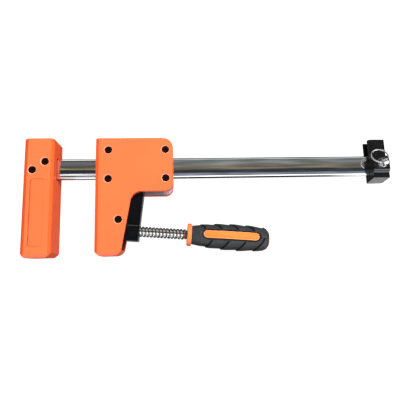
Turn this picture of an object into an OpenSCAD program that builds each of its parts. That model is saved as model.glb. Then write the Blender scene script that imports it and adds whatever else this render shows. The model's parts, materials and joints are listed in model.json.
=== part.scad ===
// Parallel bar clamp. A chromed flat bar carries a fixed jaw at one end and a removable end stop
// at the other. A sliding jaw runs along the bar; a black arm grips the bar behind it, and a screw
// spindle through the arm presses the jaw forward.
// The clamp lies on its back: X runs along the bar away from the fixed jaw's face, Y runs from the
// jaws' toes to their heels, Z points up through the thickness. The origin is the middle of the
// underside. Millimetres.

/* [Bar] */
// Height of the flat bar's section
bar_height = 26.2; // [20:0.1:29]
// Thickness of the flat bar
bar_thickness = 8.5; // [7:0.1:11]
// Rounding of the bar's long edges
bar_edge_radius = 2.8; // [0.5:0.1:3.2]
// Bar between the fixed jaw's face and the end stop
bar_free_length = 397.3; // [260:0.1:1200]
// Bar held inside the fixed jaw
bar_tail = 29; // [28:0.5:30]
// Bar held inside the end stop
bar_in_stop = 17; // [15:0.5:18]

/* [Both jaws] */
// Thickness of the jaws
jaw_thickness = 39.5; // [38:0.5:50]
// Jaw above the bar's middle line
jaw_heel = 34; // [33:0.5:45]
// Jaw below the bar's middle line
jaw_reach = 107.5; // [105:0.5:140]
// Moulded wall of the jaw covers
jaw_wall = 3.5; // [3:0.1:4]
// Bevel of the long edges, measured across the jaw's face
bevel_width = 4; // [2:0.1:5]
// Bevel of the long edges, measured through the thickness
bevel_depth = 3.5; // [2:0.1:4]
// Corner cut at the toe of each jaw
toe_cut = 5; // [3:0.5:6]

/* [Fixed jaw] */
// Width of the fixed jaw along the bar
fixed_jaw_width = 34.7; // [34:0.1:45]
// Depth of the sunk panel on the fixed jaw
panel_depth = 1.2; // [0.3:0.1:1.5]
// Bevel of the outer long edges against the common bevel
outer_bevel = 1.3; // [1:0.05:1.3]
// Bevel of the clamping edges against the common bevel
clamping_bevel = 0.8; // [0.6:0.05:1]
// Width of the sunk panel
panel_width = 16; // [10:0.5:18]
// Height of the sunk panel
panel_height = 80; // [50:1:84]
// Corner radius of the sunk panel
panel_radius = 3.5; // [1:0.5:4.5]
// Middle of the sunk panel below the bar's middle line
panel_middle = 55.2; // [54:0.1:57]
// Upper screw behind the clamping face
upper_screw_back = 9.8; // [9:0.1:11]
// Upper screw above the bar's middle line
upper_screw_rise = 5.6; // [4:0.1:7]
// Lower screw behind the clamping face
lower_screw_back = 24.2; // [22:0.1:25]
// Lower screw below the bar's middle line
lower_screw_drop = 4.4; // [3:0.1:7]

/* [Sliding jaw] */
// Gap between the two jaw faces
opening = 49; // [4:0.5:120]
// Length of the sliding jaw's upper block along the bar
block_length = 93.1; // [92:0.1:110]
// Upper block below the bar's middle line
block_depth = 32.2; // [30:0.1:36]
// Radius of the block's upper back corner
block_corner_radius = 13; // [6:0.5:16]
// Radius of the block's lower back corner
block_heel_radius = 10; // [6:0.5:12]
// Width of the leg at its toe
leg_toe_width = 30; // [28:0.1:33]
// Lean of the leg's back edge from upright, in degrees
leg_lean = 10.3; // [8:0.1:14]
// Radius of the inner corner between block and leg
leg_fillet = 13; // [8:0.5:14]
// Radius of the leg's toe at the back
leg_toe_radius = 10; // [5:0.5:12]
// Half width of the slot that the arm moves in
slot_half = 10.3; // [10:0.1:10.5]
// Thickness of the steel core's side plates
plate_thickness = 2.5; // [2:0.1:3]
// Thickness of the steel core's front web
web_thickness = 7; // [5:0.5:8]
// Length of the guide blocks along the bar
guide_length = 9.5; // [9:0.1:10]
// Height of the guide blocks
guide_height = 15; // [12:0.5:17]
// Upper cover screws above the bar's middle line
screws_above = 19.1; // [16:0.1:21]
// Lower cover screws below the bar's middle line
screws_below = 16.4; // [16:0.1:21]

/* [Sliding arm] */
// Thickness of the arm
arm_thickness = 18.6; // [15:0.1:19.5]
// Thickness of the arm's threaded boss
boss_thickness = 22; // [19:0.5:24]
// Width of the arm at the boss, along the spindle
boss_width = 16.6; // [14:0.1:18]
// Width of the arm at its head
head_width = 24; // [20:0.5:25]
// Boss below the spindle's axis
boss_below = 12.3; // [10:0.1:14]
// Boss above the spindle's axis
boss_above = 6.5; // [5:0.1:9]
// Middle of the boss behind the jaw face, along the spindle
boss_station = 42.5; // [42:0.1:46]
// Travel of the arm along the spindle
arm_travel = 14; // [6:0.5:14]
// Arm above the bar
arm_above_bar = 11.5; // [9:0.1:14]
// Diameter of the hardened pins that bite the bar
grip_pin_diameter = 6; // [4:0.1:7]

/* [Spindle and handle] */
// Outer diameter of the spindle
spindle_diameter = 12.8; // [10:0.1:14]
// Diameter of the spindle's plain nose
nose_diameter = 9; // [8:0.1:9.8]
// Diameter of the spindle's tang inside the handle
tang_diameter = 10; // [7:0.1:12]
// Drop of the spindle from level, in degrees
spindle_tilt = 5; // [2:0.1:6]
// Spindle's axis below the bar's middle line, at the jaw face
spindle_depth = 74.5; // [73:0.1:76]
// Jaw face to handle collar, along the spindle
collar_station = 109; // [80:0.5:130]
// Diameter of the handle's collar
collar_diameter = 27.8; // [24:0.1:29]
// Thickness of the handle's collar
collar_thickness = 6.2; // [4:0.1:8]
// Length of the handle's grip
grip_length = 94; // [85:0.5:100]
// Largest diameter of the grip
grip_diameter = 31.8; // [28:0.1:32]
// Radius of the grip's lengthwise bow
grip_bow_radius = 340; // [300:1:800]
// Largest diameter's distance from the collar
grip_belly = 54; // [45:0.5:58]
// Rounding of the grip's end
grip_end_radius = 5; // [2:0.5:6]
// Diameter of the handle's hard core
core_diameter = 19; // [16:0.1:20]
// Turn of the handle at rest, in degrees
handle_turn = 6; // [-30:1:30]
// Length of an inlay
inlay_length = 70; // [50:0.5:74]
// Width of an inlay
inlay_width = 11; // [8:0.1:12]
// Depth of the tread grooves in the grip
tread_depth = 1.3; // [0.6:0.1:1.6]
// Width of the tread grooves
tread_width = 2; // [1:0.1:3]
// Length of the tread grooves
tread_length = 18; // [12:0.5:20]
// Spacing of the tread grooves along the grip
tread_pitch = 20; // [16:0.5:20]
// First tread groove's distance from the collar
tread_first = 11.3; // [10:0.1:14]
// Stagger between the grooves on the two sides of an inlay
tread_stagger = 9.1; // [0:0.1:10]
// Slant of the tread grooves from the handle's axis, in degrees
tread_slant = 59; // [50:1:65]
// Turn from an inlay to the middle of the grooves beside it, in degrees
tread_turn = 62; // [58:1:64]

/* [End stop] */
// Length of the end stop along the bar
stop_length = 21.1; // [20:0.1:26]
// Rear face of the stop behind the bar's middle plane
stop_rear = 7; // [6.5:0.1:10]
// Front face of the stop's ear before the bar's middle plane
ear_front = 8.5; // [7:0.1:10]
// Ear above the bar's middle line
stop_heel = 33.6; // [28:0.1:40]
// Front face of the stop's boss before the bar's middle plane
stop_boss_front = 16; // [15:0.1:17]
// Boss above the bar's middle line
stop_boss_above = 9.5; // [9:0.1:10]
// Boss below the bar's middle line
stop_boss_below = 8; // [7:0.1:9]
// Bevel under the boss
stop_boss_bevel = 1.3; // [0.5:0.1:2]
// Front face of the stop's foot before the bar's middle plane
foot_front = 12.9; // [11:0.1:13.5]
// Foot below the bar's middle line, at the front
foot_drop = 18.4; // [16:0.1:20]
// Foot below the bar's middle line, at the rear
foot_rear_drop = 22; // [20:0.1:24]

/* [Lock pin and ring] */
// Diameter of the lock pin
pin_diameter = 6; // [4:0.1:7]
// Pin's place inside the end stop
pin_station = 10.1; // [9:0.1:12]
// Diameter of the pin's head
pin_head_diameter = 12.4; // [10:0.1:13]
// Thickness of the pin's head flange
pin_flange = 3; // [2:0.1:4]
// Height of the pin's lug above the flange
pin_lug_height = 7.8; // [7:0.1:10]
// Thickness of the pin's lug
pin_lug_thickness = 6; // [4:0.1:7]
// Diameter of the eye in the lug
eye_diameter = 4.2; // [3.6:0.1:4.6]
// Middle diameter of the split ring
ring_diameter = 20.4; // [19:0.1:26]
// Thickness of the split ring's wire bundle
ring_wire = 2.2; // [1.6:0.1:2.4]
// Turn of the ring's hinge line from the bar, in degrees
ring_turn = 18.8; // [0:0.1:30]
// Droop of the ring from level, in degrees
ring_droop = 25; // [0:0.1:26]

/* [Fasteners] */
// Diameter of the cover screws
screw_diameter = 4; // [3:0.1:4.5]
// Diameter of the screw heads
screw_head_diameter = 8; // [6:0.1:8.4]
// Height of the screw heads
screw_head_height = 3; // [2:0.1:3.5]
// Key width of the screw heads' sockets
screw_key = 4; // [2:0.1:4.5]
// Width across the nuts' flats
nut_width = 7; // [5.5:0.1:8]
// Height of the nuts
nut_height = 3.2; // [2:0.1:3.6]
// Screw heads' seat below the jaw's face
screw_seat_depth = 5.45; // [4:0.05:5.6]
// Chamfer round the screw holes
screw_rim = 1.5; // [0.4:0.1:1.6]

/* [Clearances] */
// Gap between pieces that slide on each other
slide_gap = 0.3; // [0.1:0.05:0.4]
// Gap round a turning shaft or a fitted pin
running_gap = 0.05; // [0.02:0.01:0.1]
// Gap round a screw or a nut
screw_gap = 0.1; // [0.05:0.05:0.3]
// Gap between the arm and the slot that it moves in
arm_gap = 0.6; // [0.3:0.1:1]

/* [Hidden] */
$fn = 64;

// Cuts run past a face by this much
past = 1;
// Longer than any piece, for cuts and profiles that run right through
through = 2 * (bar_free_length + jaw_reach);
half_thickness = jaw_thickness / 2;
stop_x = bar_free_length;
middle_x = (stop_x + stop_length - fixed_jaw_width) / 2;
middle_y = (jaw_heel - jaw_reach) / 2;
core_half = slot_half + plate_thickness;
core_left = jaw_wall + web_thickness;
// The core's side plates end in a strip down the leg and a lip under the block and round its back corner
plate_strip = 9;
plate_lip = 0.8;
plate_lip_inset = 5;

// Screw places. The fixed jaw's pair passes through the bar, upper one nearer the clamping face.
screw_seat = half_thickness - screw_seat_depth;
screw_hole_diameter = screw_head_diameter + 4 * screw_gap;
fixed_screws = [[-upper_screw_back, upper_screw_rise], [-lower_screw_back, -lower_screw_drop]];
guide_left = core_left;
guide_right = block_length - jaw_wall - past - guide_length;
block_screws = [
    for (x = [guide_left + guide_length / 2, guide_right + guide_length / 2])
        for (y = [screws_above, -screws_below]) [x, y]
];
// The leg's screw stands inside the toe's width and above the spindle's axis
leg_screw_inset = 2.6;
leg_screw_rise = 8.8;
leg_screw = [leg_toe_width - leg_screw_inset, -spindle_depth + leg_screw_rise];
jaw_screw_places = concat(block_screws, [leg_screw]);
screw_boss_wall = 2;
screw_boss_radius = screw_hole_diameter / 2 + screw_boss_wall;
pillar_wall = 1.8;
// Floor of the key's socket above the screw head's seat
key_floor = 1.2;
pillar_radius = screw_diameter / 2 + pillar_wall;

// The leg's back edge is the line  x cos(lean) - y sin(lean) = leg_line.
leg_line = leg_toe_width * cos(leg_lean) + jaw_reach * sin(leg_lean);
function leg_back_x(y, inset) = (leg_line - inset + y * sin(leg_lean)) / cos(leg_lean);
leg_normal = [cos(leg_lean), -sin(leg_lean)];

// The spindle's frame starts at the jaw face and runs along the spindle towards the handle.
socket_length = 11;
socket_end = core_left + socket_length;
socket_wall = 4.5;
socket_radius = nose_diameter / 2 + socket_wall;
nose_inset = 3;
nose_tip = core_left + nose_inset;
nose_chamfer = 1.5;
clip_thickness = 2;
clip_inset = 7;
clip_station = core_left + clip_inset;
groove_step = 2.4;
groove_diameter = nose_diameter - groove_step;
clip_width = nose_diameter + groove_step;
clip_margin = 2.2;
clip_reach = socket_radius - clip_margin;
thread_run_out = 1.2;
thread_start = boss_station - boss_width / 2 - thread_run_out;
tang_length = 56;
grip_start = collar_station + collar_thickness;
grip_end = grip_start + grip_length;
inlay_middle = grip_start + grip_length / 2;
// The inlays lie a little below the grip, and the core stands a little out of its end
inlay_sink = 0.4;
core_proud = 1;

// The arm's window leaves room for the arm's drop as it moves down the tilted spindle.
arm_drop = arm_travel * sin(spindle_tilt);
grip_pin_bite = 0.6;
window_low = -bar_height / 2 - slide_gap - grip_pin_bite;
window_high = bar_height / 2 + slide_gap + arm_drop + grip_pin_bite;
arm_top = (spindle_depth + boss_station * sin(spindle_tilt) + bar_height / 2 + arm_above_bar)
    / cos(spindle_tilt);
head_chamfer = 4;
soft_corner = 1.5;
boss_x = boss_station * cos(spindle_tilt);
boss_y = -spindle_depth - boss_station * sin(spindle_tilt);
function arm_middle_x(y) = boss_x + (y - boss_y) * tan(spindle_tilt);

pin_x = stop_x + pin_station;
stop_corner = 1.2;
// The ear's rear cheek is a little lower than its front one
cheek_drop = 1.5;
// Low step between the stop's boss and its foot
step_height = 0.7;
pin_chamfer = 1;
pin_stick_out = 3;
eye_height = stop_boss_front + pin_flange + pin_lug_height / 2;
ring_radius = ring_diameter / 2;
// The wire's bow across the lug's thickness is shared about the hinge line.
ring_shift = (ring_radius - sqrt(pow(ring_radius, 2) - pow(pin_lug_thickness / 2, 2))) / 2;

orange = [1.0, 0.5, 0.24];
handle_orange = [1.0, 0.58, 0.16];
rubber = [0.2, 0.22, 0.23];
chrome = [0.82, 0.83, 0.85];
steel = [0.55, 0.56, 0.58];
black = [0.08, 0.08, 0.09];
nylon = [0.88, 0.87, 0.82];

// Frames and profiles

module place() {
    translate([-middle_x, -middle_y, half_thickness]) children();
}

module at_sliding_jaw() {
    place() translate([opening, 0, 0]) children();
}

module at_spindle() {
    at_sliding_jaw() translate([0, -spindle_depth, 0]) rotate([0, 0, -spindle_tilt]) children();
}

// Turns a shape round Z so that its axis lies along X
module along_axis() {
    rotate([0, 90, 0]) children();
}

module slab(low, high) {
    translate([0, 0, low]) linear_extrude(high - low) children();
}

// Runs a profile drawn in X and Z along Y
module run_along_y() {
    rotate([90, 0, 0]) linear_extrude(through, center = true) children();
}

// Runs a profile drawn in Y and Z along X
module run_along_x() {
    rotate([90, 0, 90]) linear_extrude(through, center = true) children();
}

module round_rectangle(low, high, radius) {
    translate([low[0] + radius, low[1]]) square([high[0] - low[0] - 2 * radius, high[1] - low[1]]);
    translate([low[0], low[1] + radius]) square([high[0] - low[0], high[1] - low[1] - 2 * radius]);
    for (x = [low[0] + radius, high[0] - radius])
        for (y = [low[1] + radius, high[1] - radius])
            translate([x, y]) circle(radius);
}

module stadium(length, width) {
    square([length - width, width], center = true);
    for (side = [-1, 1]) translate([side * (length - width) / 2, 0]) circle(d = width);
}

// Outline of the sliding jaw, drawn in by inset
module jaw_outline(inset) {
    low = -block_depth + inset;
    high = jaw_heel - inset;
    right = block_length - inset;
    corner = block_corner_radius - inset;
    heel = block_heel_radius - inset;
    toe = -jaw_reach + inset;
    fillet = [(leg_line + leg_fillet - (block_depth + leg_fillet) * sin(leg_lean)) / cos(leg_lean),
        -block_depth - leg_fillet];
    round_toe = [leg_back_x(-jaw_reach + leg_toe_radius, leg_toe_radius), -jaw_reach + leg_toe_radius];
    toe_radius = leg_toe_radius - inset;
    translate([inset, low]) square([right - max(corner, heel) - inset, high - low]);
    translate([inset, low + heel]) square([right - inset, high - low - heel - corner]);
    translate([right - corner, high - corner]) circle(corner);
    translate([right - max(corner, heel) - past, high - corner - past])
        square([max(corner, heel) - corner + past, corner + past]);
    translate([right - heel, low + heel]) circle(heel);
    translate([right - max(corner, heel) - past, low])
        square([max(corner, heel) - heel + past, heel + past]);
    difference() {
        polygon([
            [inset, 0], [fillet[0], 0], fillet,
            fillet - (leg_fillet + inset) * leg_normal,
            round_toe + toe_radius * leg_normal,
            round_toe, [round_toe[0], toe],
            [inset + toe_cut, toe], [inset, toe + toe_cut]
        ]);
        translate(fillet) circle(leg_fillet + inset);
    }
    translate(round_toe) circle(toe_radius);
}

// Section across a jaw, with its long edges bevelled where asked
module bevelled_section(left, right, left_bevel, right_bevel) {
    polygon([
        [left, -half_thickness + bevel_depth * left_bevel],
        [left, half_thickness - bevel_depth * left_bevel],
        [left + bevel_width * left_bevel, half_thickness],
        [right - bevel_width * right_bevel, half_thickness],
        [right, half_thickness - bevel_depth * right_bevel],
        [right, -half_thickness + bevel_depth * right_bevel],
        [right - bevel_width * right_bevel, -half_thickness],
        [left + bevel_width * left_bevel, -half_thickness]
    ]);
}

// Fasteners

module socket_screw() {
    difference() {
        translate([0, 0, screw_seat]) cylinder(h = screw_head_height, d = screw_head_diameter);
        translate([0, 0, screw_seat + key_floor])
            cylinder(h = screw_head_height, d = screw_key / cos(30), $fn = 6);
    }
    translate([0, 0, -screw_seat - nut_height])
        cylinder(h = 2 * screw_seat + nut_height, d = screw_diameter);
}

module hex_nut() {
    difference() {
        translate([0, 0, -screw_seat - nut_height])
            cylinder(h = nut_height, d = nut_width / cos(30), $fn = 6);
        translate([0, 0, -through / 2]) cylinder(h = through, d = screw_diameter + 2 * running_gap);
    }
}

// What a screw and its nut take out of the pieces that they hold
module screw_cut() {
    translate([0, 0, -through / 2]) cylinder(h = through, d = screw_diameter + 2 * screw_gap);
    translate([0, 0, screw_seat]) cylinder(h = jaw_thickness, d = screw_hole_diameter);
    translate([0, 0, half_thickness - screw_rim])
        cylinder(h = screw_rim + past, d1 = screw_hole_diameter,
            d2 = screw_hole_diameter + 2 * (screw_rim + past));
    translate([0, 0, -screw_seat - jaw_thickness])
        cylinder(h = jaw_thickness, d = (nut_width + 2 * screw_gap) / cos(30), $fn = 6);
}

module screw_hole() {
    translate([0, 0, -through / 2]) cylinder(h = through, d = screw_diameter + 2 * screw_gap);
}

// Bar and fixed jaw

module bar_section(gap) {
    round_rectangle([-bar_height / 2 - gap, -bar_thickness / 2 - gap],
        [bar_height / 2 + gap, bar_thickness / 2 + gap], bar_edge_radius + gap);
}

module bar() color(chrome) place() difference() {
    translate([-bar_tail, 0, 0]) rotate([90, 0, 90])
        linear_extrude(bar_tail + bar_free_length + bar_in_stop) bar_section(0);
    for (spot = fixed_screws) translate(spot) screw_hole();
    translate([pin_x, 0, -through / 2]) cylinder(h = through, d = pin_diameter + 4 * running_gap);
}

module fixed_jaw_sleeve() color(orange) place() difference() {
    intersection() {
        slab(-half_thickness, half_thickness) polygon([
            [-fixed_jaw_width, jaw_heel], [0, jaw_heel],
            [0, -jaw_reach + toe_cut], [-toe_cut, -jaw_reach],
            [-fixed_jaw_width + toe_cut, -jaw_reach], [-fixed_jaw_width, -jaw_reach + toe_cut]
        ]);
        run_along_y() bevelled_section(-fixed_jaw_width, 0, outer_bevel, clamping_bevel);
        run_along_x() bevelled_section(-jaw_reach, jaw_heel, 1, 0);
    }
    fixed_jaw_room();
    translate([-jaw_wall - past, -bar_height / 2 - 2 * slide_gap, -bar_thickness / 2 - 2 * slide_gap])
        cube([jaw_wall + 2 * past, bar_height + 4 * slide_gap, bar_thickness + 4 * slide_gap]);
    translate([-fixed_jaw_width / 2, -panel_middle, half_thickness - panel_depth])
        linear_extrude(panel_depth + past)
            round_rectangle([-panel_width / 2, -panel_height / 2], [panel_width / 2, panel_height / 2],
                panel_radius);
    for (spot = fixed_screws) translate(spot) screw_cut();
}

// Space inside the sleeve, open at the heel
module fixed_jaw_room() {
    translate([-fixed_jaw_width + jaw_wall, -jaw_reach + jaw_wall + toe_cut, -half_thickness + jaw_wall])
        cube([fixed_jaw_width - 2 * jaw_wall, jaw_reach + jaw_heel, jaw_thickness - 2 * jaw_wall]);
}

module fixed_jaw_core() color(steel) place() difference() {
    heel_sink = 1;
    bar_seat_wall = 6;
    rib_half = 5;
    intersection() {
        fixed_jaw_room();
        slab(-half_thickness, half_thickness) translate([-fixed_jaw_width, -jaw_reach])
            square([fixed_jaw_width, jaw_reach + jaw_heel - heel_sink]);
    }
    run_along_x() bar_section(running_gap);
    for (spot = fixed_screws) translate(spot) screw_cut();
    // Pockets on both sides leave a rib through the middle
    pocket_low = [-fixed_jaw_width + 2 * jaw_wall, -jaw_reach + 2 * jaw_wall + toe_cut];
    pocket_high = [-2 * jaw_wall, -bar_height / 2 - bar_seat_wall];
    for (side = [0, 1]) mirror([0, 0, side]) slab(rib_half, half_thickness)
        round_rectangle(pocket_low, pocket_high, panel_radius);
}

module fixed_jaw_screws() color(black) place() for (spot = fixed_screws) translate(spot) socket_screw();

module fixed_jaw_nuts() color(steel) place() for (spot = fixed_screws) translate(spot) hex_nut();

// End stop, lock pin and ring

// Section of the end stop across the bar, drawn in Y and Z: ear, boss and slanted foot at the front, flat
// at the rear
module stop_section() {
    step_front = stop_boss_front - stop_boss_bevel;
    step_end = -stop_boss_below - stop_boss_bevel - step_height;
    polygon([
        [stop_heel, ear_front], [stop_boss_above, ear_front], [stop_boss_above, stop_boss_front],
        [-stop_boss_below, stop_boss_front], [-stop_boss_below - stop_boss_bevel, step_front],
        [step_end, step_front], [step_end - step_front + foot_front, foot_front],
        [-foot_drop, foot_front], [-foot_rear_drop, -stop_rear],
        [stop_heel - cheek_drop, -stop_rear], [stop_heel - cheek_drop, 0], [stop_heel, 0]
    ]);
}

module end_stop() color(black) place() difference() {
    intersection() {
        run_along_x() stop_section();
        slab(-stop_rear - past, stop_boss_front + past)
            round_rectangle([stop_x, -foot_rear_drop], [stop_x + stop_length, stop_heel], stop_corner);
    }
    translate([stop_x - past, 0, 0]) rotate([90, 0, 90])
        linear_extrude(bar_in_stop + slide_gap + past) {
            bar_section(running_gap * 2);
            // Slot from the bar up through the heel, between the ear's two cheeks
            translate([0, -bar_thickness / 2 - running_gap * 2])
                square([stop_heel + past, bar_thickness + 4 * running_gap]);
        }
    translate([pin_x, 0, -through / 2]) cylinder(h = through, d = pin_diameter + 4 * running_gap);
}

module lock_pin() color(chrome) place() translate([pin_x, 0, 0]) {
    tip = stop_rear + pin_stick_out;
    lug_width = pin_head_diameter - 2 * pin_chamfer;
    lug_foot = stop_boss_front + pin_flange / 2;
    lug_round = stop_boss_front + pin_flange + pin_lug_height - lug_width / 2;
    translate([0, 0, -tip])
        cylinder(h = pin_chamfer, d1 = pin_diameter - 2 * pin_chamfer, d2 = pin_diameter);
    translate([0, 0, pin_chamfer - tip])
        cylinder(h = tip - pin_chamfer + stop_boss_front, d = pin_diameter);
    translate([0, 0, stop_boss_front]) cylinder(h = pin_flange, d = pin_head_diameter);
    // Flat lug with a round top and the ring's eye
    rotate([0, 0, ring_turn]) difference() {
        union() {
            translate([-pin_lug_thickness / 2, -lug_width / 2, lug_foot])
                cube([pin_lug_thickness, lug_width, lug_round - lug_foot]);
            translate([0, 0, lug_round]) along_axis()
                cylinder(h = pin_lug_thickness, d = lug_width, center = true);
        }
        translate([0, 0, eye_height]) along_axis()
            cylinder(h = 2 * pin_head_diameter, d = eye_diameter, center = true);
    }
}

module split_ring() color(chrome) place() translate([pin_x, 0, eye_height]) rotate([0, 0, ring_turn])
    rotate([-ring_droop, 0, 0]) translate([0, ring_radius - ring_shift, 0])
        rotate_extrude($fn = 96) translate([ring_radius, 0]) circle(d = ring_wire, $fn = 32);

// Sliding jaw

// Half shell of the sliding jaw: closed at the face, heel and toe, open at the back for the arm
module cover_shell() {
    // Share of the full bevel along the heel and the back
    light_bevel = 0.3;
    difference() {
        intersection() {
            slab(0, half_thickness) jaw_outline(0);
            run_along_y() bevelled_section(0, block_length, 1, light_bevel);
            run_along_x() bevelled_section(-jaw_reach, jaw_heel, 1, light_bevel);
        }
        slab(-past, half_thickness - jaw_wall) jaw_outline(jaw_wall);
        slab(-past, core_half) back_opening();
    }
    for (spot = jaw_screw_places) translate(spot) translate([0, 0, core_half])
        cylinder(h = half_thickness - core_half - jaw_wall / 2, r = screw_boss_radius);
    translate(leg_screw) cylinder(h = core_half + past, r = pillar_radius);
}

// Where the covers stay open between them: leg's back edge, block's underside and its lower back corner
module back_opening() {
    start = core_left + plate_lip_inset - slide_gap;
    toe_floor = 6.5;
    floor_y = -jaw_reach + toe_floor;
    ceiling = -block_depth + jaw_wall + slide_gap;
    translate([start, floor_y]) square([block_length - start - block_heel_radius, ceiling - floor_y]);
    translate([block_length - block_heel_radius, -block_depth]) square(block_heel_radius);
}

module jaw_bar_cut(gap) {
    run_along_x() square([bar_height + 2 * gap, bar_thickness + 2 * gap], center = true);
}

module jaw_front_cover() color(orange) at_sliding_jaw() difference() {
    cover_shell();
    jaw_bar_cut(2 * slide_gap);
    for (spot = jaw_screw_places) translate(spot) screw_cut();
}

module jaw_rear_cover() color(orange) at_sliding_jaw() difference() {
    mirror([0, 0, 1]) cover_shell();
    jaw_bar_cut(2 * slide_gap);
    for (spot = jaw_screw_places) translate(spot) screw_cut();
}

// Outline of the core's side plates: the whole block with its lip, and a strip down the leg's front
module plate_outline() {
    leg_strip = core_left + plate_strip;
    intersection() {
        jaw_outline(jaw_wall);
        union() {
            translate([0, -block_depth]) square([block_length, block_depth + jaw_heel]);
            translate([0, -jaw_reach]) square([leg_strip, jaw_reach]);
        }
    }
    lip_start = core_left + plate_lip_inset;
    intersection() {
        jaw_outline(plate_lip);
        translate([lip_start, -block_depth])
            square([block_length - lip_start, block_heel_radius - slide_gap]);
    }
}

module jaw_core() color(steel) at_sliding_jaw() difference() {
    union() {
        slab(slot_half, core_half) plate_outline();
        slab(-core_half, -slot_half) plate_outline();
        slab(-core_half, core_half) intersection() {
            jaw_outline(jaw_wall);
            translate([jaw_wall, -jaw_reach]) square([web_thickness, jaw_reach + jaw_heel]);
        }
    }
    jaw_bar_cut(slide_gap);
    for (spot = block_screws) translate(spot) screw_hole();
}

// Two blocks beside the bar, their corners following the covers' inner wall
module guide_pair(low) intersection() {
    for (x = [guide_left, guide_right]) translate([x, low, -slot_half])
        cube([guide_length, guide_height, 2 * slot_half]);
    slab(-slot_half, slot_half) jaw_outline(jaw_wall + slide_gap);
}

module upper_guides() color(nylon) at_sliding_jaw() difference() {
    guide_pair(bar_height / 2 + slide_gap);
    for (spot = block_screws) translate(spot) screw_hole();
}

module lower_guides() color(nylon) at_sliding_jaw() difference() {
    guide_pair(-bar_height / 2 - slide_gap - guide_height);
    for (spot = block_screws) translate(spot) screw_hole();
}

module jaw_screws() color(black) at_sliding_jaw()
    for (spot = jaw_screw_places) translate(spot) socket_screw();

module jaw_nuts() color(steel) at_sliding_jaw()
    for (spot = jaw_screw_places) translate(spot) hex_nut();

// Cup on the core's web that takes the spindle's nose, with a slot for the clip
module thrust_socket() color(steel) difference() {
    at_spindle() difference() {
        along_axis() cylinder(h = socket_end, r = socket_radius);
        translate([nose_tip - 3 * running_gap, 0, 0]) along_axis()
            cylinder(h = socket_end, d = nose_diameter + 2 * running_gap);
        translate([clip_station - screw_gap, -clip_reach, -clip_width / 2 - screw_gap])
            cube([clip_thickness + 2 * screw_gap, 3 * socket_radius, clip_width + 2 * screw_gap]);
    }
    at_sliding_jaw() translate([core_left - through, -through / 2, -through / 2])
        cube([through, through, through]);
}

// Fork that drops into the nose's groove and keeps the spindle in the socket
module spindle_clip() color(steel) at_spindle() difference() {
    translate([clip_station, -clip_reach + screw_gap, -clip_width / 2])
        cube([clip_thickness, socket_radius + clip_reach, clip_width]);
    translate([clip_station - past, 0, 0]) {
        along_axis() cylinder(h = clip_thickness + 2 * past, d = groove_diameter + 2 * running_gap);
        translate([0, -through, -groove_diameter / 2 - running_gap])
            cube([clip_thickness + 2 * past, through, groove_diameter + 2 * running_gap]);
    }
}

// Sliding arm and spindle

module sliding_arm() color(black) difference() {
    at_spindle() difference() {
        translate([boss_station, 0, 0]) {
            slab(-arm_thickness / 2, arm_thickness / 2) polygon([
                [-boss_width / 2, 0], [boss_width / 2, 0],
                [head_width / 2, arm_top - head_chamfer], [head_width / 2 - head_chamfer, arm_top],
                [-head_width / 2 + head_chamfer, arm_top], [-head_width / 2, arm_top - head_chamfer]
            ]);
            slab(-boss_thickness / 2, boss_thickness / 2)
                round_rectangle([-boss_width / 2, -boss_below], [boss_width / 2, boss_above], soft_corner);
        }
        along_axis() cylinder(h = through, d = spindle_diameter + 2 * running_gap);
    }
    at_sliding_jaw() {
        translate([-through / 2, window_low, -bar_thickness / 2 - arm_gap])
            cube([through, window_high - window_low, bar_thickness + 2 * arm_gap]);
        grip_pin_places() cylinder(h = through, d = grip_pin_diameter + 2 * running_gap, center = true);
    }
}

// The upper pin stands towards the jaw, the lower one towards the handle
module grip_pin_places() {
    margin = 3;
    side = head_width / 2 - grip_pin_diameter / 2 - margin;
    upper = window_high - grip_pin_bite + grip_pin_diameter / 2;
    lower = window_low + grip_pin_bite - grip_pin_diameter / 2;
    translate([arm_middle_x(upper) - side, upper, 0]) children();
    translate([arm_middle_x(lower) + side - past, lower, 0]) children();
}

module grip_pins() color(steel) at_sliding_jaw()
    grip_pin_places() cylinder(h = arm_thickness, d = grip_pin_diameter, center = true);

module spindle() color(chrome) at_spindle() along_axis() difference() {
    union() {
        translate([0, 0, nose_tip])
            cylinder(h = nose_chamfer, d1 = nose_diameter - 2 * nose_chamfer, d2 = nose_diameter);
        translate([0, 0, nose_tip + nose_chamfer])
            cylinder(h = thread_start - nose_tip - nose_chamfer, d = nose_diameter);
        translate([0, 0, thread_start]) cylinder(h = collar_station - thread_start, d = spindle_diameter);
        translate([0, 0, collar_station]) cylinder(h = tang_length, d = tang_diameter);
    }
    translate([0, 0, clip_station - screw_gap]) difference() {
        cylinder(h = clip_thickness + 2 * screw_gap, d = 2 * nose_diameter);
        translate([0, 0, -past]) cylinder(h = clip_thickness + 2 * past + 2 * screw_gap, d = groove_diameter);
    }
}

// Half section of the grip, a bowed barrel with a rounded end, drawn in by inset
module grip_section(inset) {
    belly = grip_start + grip_belly;
    bow = grip_bow_radius;
    drop = bow - sqrt(pow(bow, 2) - pow(grip_length - grip_belly, 2));
    end_radius = grip_diameter / 2 - drop;
    intersection() {
        translate([0, grip_start]) square([grip_diameter, grip_length]);
        translate([grip_diameter / 2 - inset - bow, belly]) circle(bow, $fn = 1440);
        union() {
            translate([0, grip_start]) square([grip_diameter, grip_length - grip_end_radius]);
            translate([0, grip_start]) square([end_radius - grip_end_radius, grip_length]);
            translate([end_radius - grip_end_radius, grip_end - grip_end_radius]) circle(grip_end_radius);
        }
    }
}

// Turns about the spindle's axis to the front and the rear inlay, with Z pointing outwards
module at_inlays() {
    for (turn = [0, 180]) rotate([turn - handle_turn, 0, 0]) children();
}

module inlay_outline(gap) {
    translate([inlay_middle, 0]) stadium(inlay_length + 2 * gap, inlay_width + 2 * gap);
}

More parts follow.
